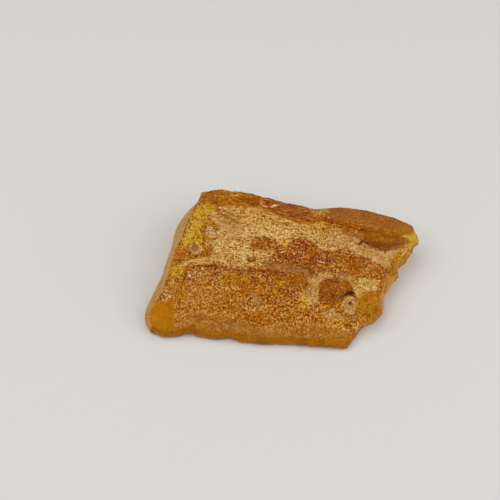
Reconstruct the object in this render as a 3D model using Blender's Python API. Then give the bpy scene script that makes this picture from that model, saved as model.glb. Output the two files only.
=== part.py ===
"""Raw copal: one natural lump of tree resin, about 62 mm long, as one solid.

The lump lies on its flat underside.  Its front is a low granular terrace that rises to a
ledge, and behind the ledge a higher terrace runs back to a rounded rim.  The left end is one
broad sloping facet, the right end narrows to a tip that overhangs the underside.

Seams are lines that run the length of the lump, one behind the other.  The top is lofted
over them.  Three outlines (foot, belly and shoulder) carry the sides.  Bubbles, hollows and
crusty swellings are pressed into that skin, and broken faces are struck off by large spheres.
"""
import math

import bmesh
import bpy
import numpy as np
from mathutils import Vector, noise

MM = 0.001
NAME = "raw_copal"

# Driving dimensions, in mm: X along the lump, Y from front to back, Z up
LENGTH = 62.0                                 # the finished lump; all below is scaled to it
LENGTH_STEPS = 112                            # mesh steps along the lump
BAND_STEPS = 6                                # mesh steps between two neighbouring seams
WALL_STEPS = 12                               # mesh steps up each side, an even number
TRIANGLES = 8600                              # the finished solid keeps about this many
UNDERSIDE_MARGIN = 2.6                        # width of the worn edge round the flat underside
UNDERSIDE_WEAR = 0.7                          # how far that edge lifts off the floor

# Seams of the top from front to back, each from its left end to its right end
SEAMS = (
    # the shoulder above the thin front wall
    ((-28.8, -13.3, 3.0), (-26.4, -14.5, 2.6), (-23.8, -14.4, 2.6), (-20.7, -13.4, 2.8),
     (-17.3, -14.7, 2.6), (-7.2, -15.8, 2.6), (1.0, -16.2, 2.6), (9.0, -16.7, 2.6),
     (14.4, -16.5, 2.5)),
    # the roll behind it
    ((-29.2, -11.3, 3.8), (-25.8, -12.6, 4.4), (-20.5, -11.4, 4.9), (-12.0, -12.7, 4.9),
     (0.0, -13.8, 4.8), (9.0, -14.4, 4.6), (15.5, -14.9, 3.2)),
    # the middle of the front terrace
    ((-28.7, -9.7, 5.0), (-25.0, -8.8, 6.3), (-19.5, -7.4, 7.1), (-10.0, -8.3, 7.2),
     (0.0, -8.9, 7.4), (9.5, -10.4, 6.7), (16.4, -13.6, 4.4)),
    # the foot of the ledge, which fades out to the right
    ((-27.1, -7.9, 6.4), (-23.1, -7.0, 7.5), (-21.2, -3.8, 8.7), (-18.2, -2.5, 9.2),
     (-11.6, -2.8, 9.4), (-4.0, -4.1, 9.4), (3.2, -5.4, 9.0), (8.2, -8.6, 7.6),
     (14.0, -10.9, 6.4), (18.6, -12.4, 5.1)),
    # the lip of the ledge
    ((-26.4, -6.5, 7.1), (-22.6, -5.9, 8.3), (-20.8, -2.8, 9.7), (-18.0, -1.6, 10.2),
     (-11.6, -1.8, 10.4), (-4.0, -2.8, 10.4), (4.0, -3.6, 10.0), (8.4, -6.2, 8.6),
     (14.0, -8.4, 7.5), (20.5, -10.4, 6.2)),
    # the back terrace
    ((-25.2, -3.2, 8.5), (-21.0, 1.0, 10.1), (-12.0, 1.6, 10.9), (-4.0, 1.0, 11.1),
     (4.0, 0.2, 10.9), (11.0, -1.8, 10.1), (16.5, -4.8, 8.7), (21.4, -7.2, 6.8)),
    ((-24.0, 2.0, 9.8), (-19.5, 5.2, 10.9), (-12.0, 5.8, 11.5), (-4.0, 4.8, 11.7),
     (4.0, 3.2, 11.5), (10.6, 2.4, 11.0), (17.0, 0.2, 9.9), (23.0, -2.2, 7.8)),
    # the groove below the crest
    ((-21.8, 7.4, 10.6), (-17.0, 9.0, 11.3), (-11.0, 9.0, 11.8), (-4.0, 8.2, 12.1),
     (4.0, 6.4, 11.8), (10.6, 5.4, 11.2), (14.0, 4.4, 10.9), (18.4, 3.3, 10.3),
     (22.9, 2.6, 9.6), (28.1, 3.0, 8.6)),
    # the crest
    ((-19.9, 12.8, 11.1), (-17.0, 13.6, 11.9), (-11.8, 12.6, 12.4), (-5.4, 11.2, 12.7),
     (-0.5, 9.7, 12.7), (4.0, 8.8, 12.5), (9.5, 7.7, 12.7), (13.8, 6.9, 13.0),
     (20.3, 5.6, 12.9), (26.0, 4.9, 11.8), (29.6, 4.9, 9.8)),
    # the back rim
    ((-18.3, 17.4, 11.0), (-15.2, 18.0, 11.5), (-11.9, 17.5, 11.7), (-5.6, 16.3, 11.5),
     (-0.1, 14.8, 11.2), (5.2, 13.7, 10.8), (7.9, 13.0, 10.8), (13.3, 12.8, 11.5),
     (18.5, 12.0, 11.5), (23.5, 10.7, 11.0), (26.9, 9.9, 10.6), (29.4, 8.6, 9.9)),
)

# Belly: the widest line round the sides, and foot: the line that meets the floor.
# Front and back run from left to right, left and right run from front to back.
BELLY = {
    "front": ((-29.2, -13.9, 0.9), (-26.0, -14.8, 1.2), (-21.0, -13.9, 1.3), (-17.4, -15.0, 1.2),
              (-7.2, -16.1, 1.2), (4.0, -16.7, 1.2), (10.0, -17.3, 1.1), (13.8, -17.6, 0.9)),
    "left": ((-29.2, -13.9, 0.9), (-30.2, -12.2, 1.4), (-30.7, -10.5, 1.8), (-30.5, -8.6, 2.1),
             (-29.8, -6.6, 2.4), (-28.4, -3.3, 3.2), (-27.3, -0.8, 3.8), (-26.3, 2.8, 4.6),
             (-25.3, 6.3, 5.4), (-24.2, 10.0, 6.4), (-22.4, 13.2, 7.7), (-20.8, 15.2, 8.6),
             (-19.0, 17.3, 8.8)),
    "right": ((13.8, -17.6, 0.9), (15.2, -16.2, 1.4), (17.2, -13.8, 2.4), (19.8, -12.3, 3.2),
              (21.7, -11.1, 3.7), (22.5, -8.9, 4.0), (22.4, -7.6, 4.3), (23.7, -5.2, 4.4),
              (25.1, -3.6, 4.6), (26.4, -1.8, 5.0), (26.8, -0.1, 5.6), (28.2, 1.1, 6.0),
              (29.2, 2.3, 6.5), (30.1, 3.7, 7.0), (31.3, 5.1, 7.8), (31.0, 7.2, 7.6),
              (29.8, 8.7, 7.0)),
    "back": ((-19.0, 17.3, 8.8), (-17.4, 18.3, 6.4), (-13.0, 18.8, 5.0), (-6.0, 17.7, 4.8),
             (1.0, 16.2, 5.2), (8.0, 15.0, 5.2), (16.0, 14.2, 5.6), (24.0, 12.0, 6.2),
             (29.8, 8.7, 7.0)),
}
FOOT = {
    "front": ((-28.4, -13.9, 0.0), (-24.8, -14.5, 0.0), (-20.8, -13.6, 0.0), (-17.2, -14.7, 0.0),
              (-7.2, -15.9, 0.0), (4.0, -16.4, 0.0), (12.4, -16.6, 0.0)),
    "left": ((-28.4, -13.9, 0.0), (-29.8, -11.6, 0.0), (-29.6, -8.5, 0.0), (-28.2, -4.0, 0.0),
             (-26.4, 2.0, 0.0), (-25.0, 7.0, 0.0), (-23.4, 11.5, 0.0), (-20.2, 16.2, 0.0)),
    "right": ((12.4, -16.6, 0.0), (14.0, -13.8, 0.0), (16.8, -11.0, 0.0), (18.2, -7.6, 0.0),
              (19.6, -3.8, 0.0), (22.0, -0.8, 0.0), (24.4, 2.2, 0.0), (25.8, 5.2, 0.0),
              (24.8, 8.6, 0.0)),
    "back": ((-20.2, 16.2, 0.0), (-14.0, 17.2, 0.0), (-6.0, 16.4, 0.0), (2.0, 14.8, 0.0),
             (10.0, 13.4, 0.0), (18.0, 12.0, 0.0), (24.8, 8.6, 0.0)),
}

# Swellings (height above zero) and hollows (below zero) of the top:
# name, (x, y) of the middle, half length, half width, turn in degrees, height
SWELLS = (
    ("front lobe", (18.6, -9.4), 3.4, 2.4, 35, 0.85),
    ("tan disc", (-16.6, 6.1), 1.5, 1.4, 0, 0.30),
    ("ledge knob", (-14.5, -1.0), 3.0, 1.2, 5, 0.25),
    ("rim knob", (-13.6, 15.2), 3.2, 1.6, -5, 0.35),
    ("rim knob", (1.2, 12.4), 2.6, 1.4, -10, 0.30),
    ("terrace knob", (-13.5, -8.6), 2.4, 1.5, 20, 0.35),
    ("terrace knob", (-3.6, -10.8), 3.0, 1.3, -8, 0.30),
    ("terrace knob", (8.0, -12.2), 2.6, 1.4, 12, 0.30),
    ("orange hollow", (11.0, -6.4), 3.7, 2.4, -28, -0.85),
    ("crescent hole", (14.6, -8.0), 1.5, 0.75, -12, -1.10),
    ("long hollow", (-3.8, 2.6), 3.6, 1.7, -14, -0.50),
    ("round hollow", (6.4, 0.6), 3.0, 2.4, 10, -0.40),
    ("smooth hollow", (1.4, -0.4), 2.7, 1.5, -25, -0.30),
    ("golden hollow", (2.6, -6.4), 1.9, 1.2, -40, -0.45),
    ("terrace hollow", (-19.6, -4.6), 1.8, 1.3, 15, -0.40),
    ("terrace hollow", (-9.2, -6.0), 2.8, 1.2, -4, -0.35),
    ("terrace hollow", (0.4, -11.6), 2.6, 1.0, -6, -0.35),
    ("end hollow", (24.4, 0.6), 2.3, 1.2, 35, -0.45),
    ("crest notch", (-12.4, 10.2), 2.6, 0.8, -28, -0.60),
    ("rim notch", (7.2, 12.4), 1.8, 1.2, 0, -0.35),
)
# Burst bubbles: (x, y) of the middle, radius of the ring, depth inside it
BUBBLES = (
    ((-19.3, 2.3), 1.15, 0.55),
    ((13.9, -10.2), 1.45, 0.45),
)
BUBBLE_LIP = 0.22                             # height of the ring round a burst bubble
# A shallow channel that drains round the right end of the ledge
CHANNEL = ((-5.0, -1.6), (0.2, -2.4), (4.9, -3.6), (7.4, -6.0), (5.6, -9.2))
CHANNEL_WIDTH, CHANNEL_DEPTH = 1.3, 0.35

# Broken faces, each a sphere's bite: middle of the sphere and its radius
BITES = (
    ("front corner", (-33.6, -22.4, 18.6), 17.6),
    ("right flank, low", (29.0, -12.6, -3.4), 9.6),
    ("right flank, high", (32.0, -6.2, 11.8), 8.9),
    ("tip, under", (36.2, 1.0, -4.8), 11.3),
    ("back, left", (-9.0, 30.2, 1.0), 13.2),
    ("back, right", (14.5, 27.0, 7.0), 14.0),
    ("left facet, low", (-38.0, 2.6, -6.2), 12.6),
)

# Crusty relief: size of the lumps and how far they stand out
COARSE_GRAIN, COARSE_RELIEF = 5.2, 0.32
FINE_GRAIN, FINE_RELIEF = 2.1, 0.20
WALL_RELIEF = 0.30


def smooth_curve(points, samples=240):
    """A smooth curve through the points, read at equal steps of its length."""
    knots = [2.0 * np.array(points[0]) - np.array(points[1])]
    knots += [np.array(point) for point in points]
    knots += [2.0 * np.array(points[-1]) - np.array(points[-2])]
    dense = []
    for before, start, end, after in zip(knots, knots[1:], knots[2:], knots[3:]):
        for t in np.linspace(0.0, 1.0, 16, endpoint=False):
            dense.append(0.5 * (2.0 * start + (end - before) * t
                                + (2.0 * before - 5.0 * start + 4.0 * end - after) * t ** 2
                                + (3.0 * start - before - 3.0 * end + after) * t ** 3))
    dense.append(knots[-2])
    dense = np.array(dense)
    run = np.concatenate(([0.0], np.cumsum(np.linalg.norm(np.diff(dense, axis=0), axis=1))))
    steps = np.linspace(0.0, run[-1], samples)
    return np.column_stack([np.interp(steps, run, dense[:, axis]) for axis in range(3)])


def at(curve, t):
    """The point of a sampled curve at t, from 0 at its start to 1 at its end."""
    place = min(max(t, 0.0), 1.0) * (len(curve) - 1)
    low = min(int(place), len(curve) - 2)
    return curve[low] + (curve[low + 1] - curve[low]) * (place - low)


def length_shares(points):
    """How far along a run of points each one lies, from 0 to 1."""
    steps = np.linalg.norm(np.diff(np.array(points), axis=0), axis=1)
    run = np.concatenate(([0.0], np.cumsum(steps)))
    return run / run[-1]


class Skin:
    """The surface of the lump before it is weathered: top, underside and walls."""

    def __init__(self):
        self.seams = [smooth_curve(seam) for seam in SEAMS]
        self.belly = {side: smooth_curve(line) for side, line in BELLY.items()}
        self.foot = {side: smooth_curve(line) for side, line in FOOT.items()}
        self.bands = len(SEAMS) - 1
        # the ends of the seams are unevenly spaced: these match them to the side outlines
        self.left_shares = length_shares([seam[0] for seam in SEAMS])
        self.right_shares = length_shares([seam[-1] for seam in SEAMS])

    def share(self, v, right):
        """The share of an end outline's length that belongs to v on the seams."""
        shares = self.right_shares if right else self.left_shares
        return float(np.interp(v * self.bands, range(self.bands + 1), shares))

    def top(self, u, v):
        band = min(int(v * self.bands + 1e-6), self.bands - 1)
        return at(self.seams[band], u) + (at(self.seams[band + 1], u)
                                          - at(self.seams[band], u)) * (v * self.bands - band)

    def spread(self, outline, u, v):
        """A sheet stretched over a closed outline of four sides."""
        v_mid = (1.0 - u) * self.share(v, False) + u * self.share(v, True)
        front, back = at(outline["front"], u), at(outline["back"], u)
        left = at(outline["left"], self.share(v, False))
        right = at(outline["right"], self.share(v, True))
        corners = ((1 - u) * (1 - v_mid) * outline["front"][0] + u * (1 - v_mid) * outline["front"][-1]
                   + (1 - u) * v_mid * outline["back"][0] + u * v_mid * outline["back"][-1])
        return (1 - v_mid) * front + v_mid * back + (1 - u) * left + u * right - corners

    def point(self, u, v, w):
        """The place of a point of the unit block: u along, v to the back, w up."""
        if w > 0.999:
            return self.top(u, v)
        if w < 0.001:
            return self.spread(self.foot, u, v)
        belly = self.spread(self.belly, u, v)
        if w < 0.5:
            return self.spread(self.foot, u, v) * (1.0 - 2.0 * w) + belly * 2.0 * w
        return belly * (2.0 - 2.0 * w) + self.top(u, v) * (2.0 * w - 1.0)


def bell(distance):
    """1 at the middle, 0 from a distance of 1 outward, smooth at both."""
    return (1.0 - distance * distance) ** 2 if distance < 1.0 else 0.0


def swell_height(x, y):
    total = 0.0
    for _, (mid_x, mid_y), half_length, half_width, turn, height in SWELLS:
        angle = math.radians(turn)
        along = (x - mid_x) * math.cos(angle) + (y - mid_y) * math.sin(angle)
        across = (y - mid_y) * math.cos(angle) - (x - mid_x) * math.sin(angle)
        total += height * bell(math.hypot(along / half_length, across / half_width))
    return total


def bubble_height(x, y):
    total = 0.0
    for (mid_x, mid_y), radius, depth in BUBBLES:
        distance = math.hypot(x - mid_x, y - mid_y)
        total += BUBBLE_LIP * bell(abs(distance - radius) / (0.6 * radius))
        total -= depth * bell(distance / (0.8 * radius))
    return total


def channel_height(x, y):
    spot = np.array((x, y))
    nearest = 1e9
    for start, end in zip(CHANNEL, CHANNEL[1:]):
        start, run = np.array(start), np.array(end) - np.array(start)
        share = min(max(float((spot - start) @ run / (run @ run)), 0.0), 1.0)
        nearest = min(nearest, float(np.linalg.norm(spot - start - run * share)))
    return -CHANNEL_DEPTH * bell(nearest / CHANNEL_WIDTH)


def crust(place, size):
    """Rounded grains, about -1 to 1, of the given size in mm."""
    return 1.0 - 2.0 * noise.voronoi(place / size)[0][0] / 0.8


def flatness(x):
    """How smooth the top is along its length: the left end and the tip are worn smooth."""
    left = min(max((x + 27.5) / 5.0, 0.15), 1.0)
    right = min(max((27.5 - x) / 8.0, 0.35), 1.0)
    return left * right


def weathered(bm, levels):
    """Press swellings, bubbles and crusty relief into the moulded skin."""
    bm.normal_update()
    moves = {}
    for vertex, (u, v, w) in levels.items():
        place = vertex.co
        if w < 0.001:
            edge = min(u, 1.0 - u, 0.55 * v, 0.55 * (1.0 - v)) * LENGTH
            lift = UNDERSIDE_WEAR * (1.0 - min(edge / UNDERSIDE_MARGIN, 1.0)) ** 2
            moves[vertex] = Vector((0.0, 0.0, lift))
            continue
        grain = COARSE_RELIEF * noise.noise(place / COARSE_GRAIN)
        grain += FINE_RELIEF * crust(place, FINE_GRAIN)
        if w > 0.999:
            away_from_edge = min(1.0, 14.0 * min(u, 1.0 - u, v, 1.0 - v) + 0.25)
            height = swell_height(place.x, place.y) + bubble_height(place.x, place.y)
            height += channel_height(place.x, place.y)
            height += grain * flatness(place.x) * away_from_edge
            moves[vertex] = vertex.normal * height
        else:
            middle = math.sin(math.pi * w)
            chunky = noise.noise(place / COARSE_GRAIN + Vector((7.0, 0.0, 3.0)))
            smooth_left = min(max((place.x + 24.0) / 6.0, 0.15), 1.0)
            moves[vertex] = vertex.normal * (WALL_RELIEF * middle * smooth_left
                                             * (chunky * 2.0 + crust(place, FINE_GRAIN)) / 2.0)
    for vertex, move in moves.items():
        vertex.co += move


def bitten(place):
    """Where a point of the skin lies once the broken faces are struck off."""
    for _, middle, radius in BITES:
        reach = place - Vector(middle)
        if reach.length < radius:
            place = Vector(middle) + reach.normalized() * radius
    return place


def stand_on_origin(bm):
    """Scale the lump to its length, with the middle of its box's underside at the origin."""
    places = np.array([vertex.co for vertex in bm.verts])
    low, high = places.min(axis=0), places.max(axis=0)
    middle = Vector(((low[0] + high[0]) / 2.0, (low[1] + high[1]) / 2.0, low[2]))
    scale = MM * LENGTH / (high[0] - low[0])
    for vertex in bm.verts:
        vertex.co = (vertex.co - middle) * scale


def moulded_lump(collection):
    """The lump: a finely divided block whose points are moulded onto the skin."""
    skin = Skin()
    bm = bmesh.new()
    bmesh.ops.create_cube(bm, size=1.0)
    steps = (LENGTH_STEPS, BAND_STEPS * skin.bands, WALL_STEPS)
    for axis, count in enumerate(steps):
        edges = [edge for edge in bm.edges
                 if abs(edge.verts[0].co[axis] - edge.verts[1].co[axis]) > 0.5]
        bmesh.ops.subdivide_edges(bm, edges=edges, cuts=count - 1, use_grid_fill=True)
    levels = {vertex: tuple(value + 0.5 for value in vertex.co) for vertex in bm.verts}
    for vertex, (u, v, w) in levels.items():
        vertex.co = skin.point(u, v, w)
    weathered(bm, levels)
    for vertex in bm.verts:
        vertex.co = bitten(vertex.co)
    stand_on_origin(bm)
    mesh = bpy.data.meshes.new(NAME)
    bm.to_mesh(mesh)
    bm.free()
    mesh.shade_smooth()
    mesh.set_sharp_from_angle(angle=math.radians(35.0))
    lump = bpy.data.objects.new(NAME, mesh)
    collection.objects.link(lump)
    return lump


def thin(lump):
    """Fewer, unequal facets: small ones where the skin turns, large ones where it is flat."""
    faces = sum(len(polygon.vertices) - 2 for polygon in lump.data.polygons)
    facets = lump.modifiers.new("facets", "DECIMATE")
    facets.ratio = min(1.0, TRIANGLES / faces)


def copal_material():
    material = bpy.data.materials.new("amber crust")
    material.use_nodes = True
    shader = material.node_tree.nodes["Principled BSDF"]
    shader.inputs["Base Color"].default_value = (0.42, 0.22, 0.07, 1.0)
    shader.inputs["Roughness"].default_value = 0.45
    shader.inputs["Metallic"].default_value = 0.0
    return material


def main():
    for item in list(bpy.data.objects):
        bpy.data.objects.remove(item, do_unlink=True)
    parts = bpy.data.collections.new("raw copal")
    bpy.context.scene.collection.children.link(parts)
    lump = moulded_lump(parts)
    thin(lump)
    lump.data.materials.append(copal_material())


main()
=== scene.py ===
"""Raw copal: the looks of one lump of tree resin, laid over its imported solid.

The lump is skinned afresh at a quarter of a millimetre.  Grains, streaks, lines, bubbles and
pits are pressed into that skin.  Where each finish lies is kept as outlines seen from above.
What a finish is like (its shade, grain, clearness and gloss) is worked out at every point of
the skin, and the material reads it there.
"""
import math
from typing import NamedTuple

import bmesh
import bpy
import numpy as np
from bpy.props import FloatProperty, FloatVectorProperty, IntProperty, PointerProperty
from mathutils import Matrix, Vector


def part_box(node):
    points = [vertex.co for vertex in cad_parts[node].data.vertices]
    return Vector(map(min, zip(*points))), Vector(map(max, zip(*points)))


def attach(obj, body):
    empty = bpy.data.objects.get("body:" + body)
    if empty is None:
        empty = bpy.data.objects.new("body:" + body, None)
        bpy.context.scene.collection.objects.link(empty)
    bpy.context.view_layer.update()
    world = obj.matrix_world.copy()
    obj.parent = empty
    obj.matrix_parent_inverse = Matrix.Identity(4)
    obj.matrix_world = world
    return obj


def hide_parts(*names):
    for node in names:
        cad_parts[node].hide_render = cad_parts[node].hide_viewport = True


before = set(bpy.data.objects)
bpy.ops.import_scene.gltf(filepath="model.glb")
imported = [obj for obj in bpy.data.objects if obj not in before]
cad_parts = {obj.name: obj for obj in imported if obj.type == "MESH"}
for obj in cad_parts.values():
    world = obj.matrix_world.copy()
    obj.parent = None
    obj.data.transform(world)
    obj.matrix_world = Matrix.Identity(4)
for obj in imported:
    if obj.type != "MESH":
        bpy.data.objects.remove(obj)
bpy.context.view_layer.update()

bl_info = {
    "name": "Raw Copal",
    "version": (1, 0, 0),
    "blender": (4, 5, 0),
    "location": "3D View > Sidebar > Copal",
    "description": "Skins and finishes a lump of raw copal, and lights it on pale paper",
    "category": "Add Mesh",
}

MM = 0.001
NODE = "raw_copal"
FAR = 9.0  # beyond the reach of any patch, line or grain

# Relief in mm, and the steps of shade that go with it: swells, streaks and lips come out lighter
# and lines darker. Along the lines this is partly painted shade, along the lips partly painted
# highlight
SWELL_HEIGHT, SWELL_STEPS = 0.16, 0.45
STREAK_HEIGHT, STREAK_STEPS = 0.10, 0.55
LINE_DEPTH, LINE_STEPS = 0.16, 1.15
LIP_HEIGHT, LIP_STEPS = 0.10, 0.90
# How much wider than drawn a line and a lip are pressed
LINE_SPREAD, LIP_SPREAD = 1.5, 1.3
# Contrast of the finest marks, in steps of shade
SPECK_STEPS, RIPPLE_STEPS, SEAM_STEPS = 8.4, 13.0, 0.5
FLOW_STEPS, FLECK_STEPS, CLOUD_STEPS = 8.0, 22.0, 0.8
# Turns places so that x runs along the pressed streaks, which cross the painted ones
TO_FLOW = np.array([[0.99, -0.16, 0.0], [0.16, 0.99, 0.0], [0.0, 0.0, 1.0]])
# How the painted streaks are turned and stretched
PAINT_TURN, PAINT_STRETCH = math.radians(-9.0), (3.4, 0.6, 1.0)
# Limits of the finishes of the walls, in mm
LEFT_END, RIGHT_END, SIDE_BACK, FOOT_TOP = -14.0, 12.0, 6.0, 3.4
IOR = 1.54  # of the resin
CRUST_SHEEN = (1.0, 0.60, 0.10, 1.0)
RESIN_SHEEN = (1.0, 0.50, 0.06, 1.0)
BUMP_STRENGTH, BUMP_HEIGHT = 0.45, 0.07 * MM
SKY_COLOUR = (1.0, 0.99, 0.97, 1.0)
PAPER_SIZE = 4.0  # m
LAMP_PLACE = (-0.24, -0.06, 0.50)
SIDE_LAMP_PLACE = (0.45, -0.10, 0.35)


def srgb(red, green, blue):
    """A colour as a paint chart gives it, 0 to 255, made scene-linear."""
    return tuple(value / 12.92 if value <= 0.04045 else ((value + 0.055) / 1.055) ** 2.4
                 for value in (red / 255.0, green / 255.0, blue / 255.0))


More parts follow.
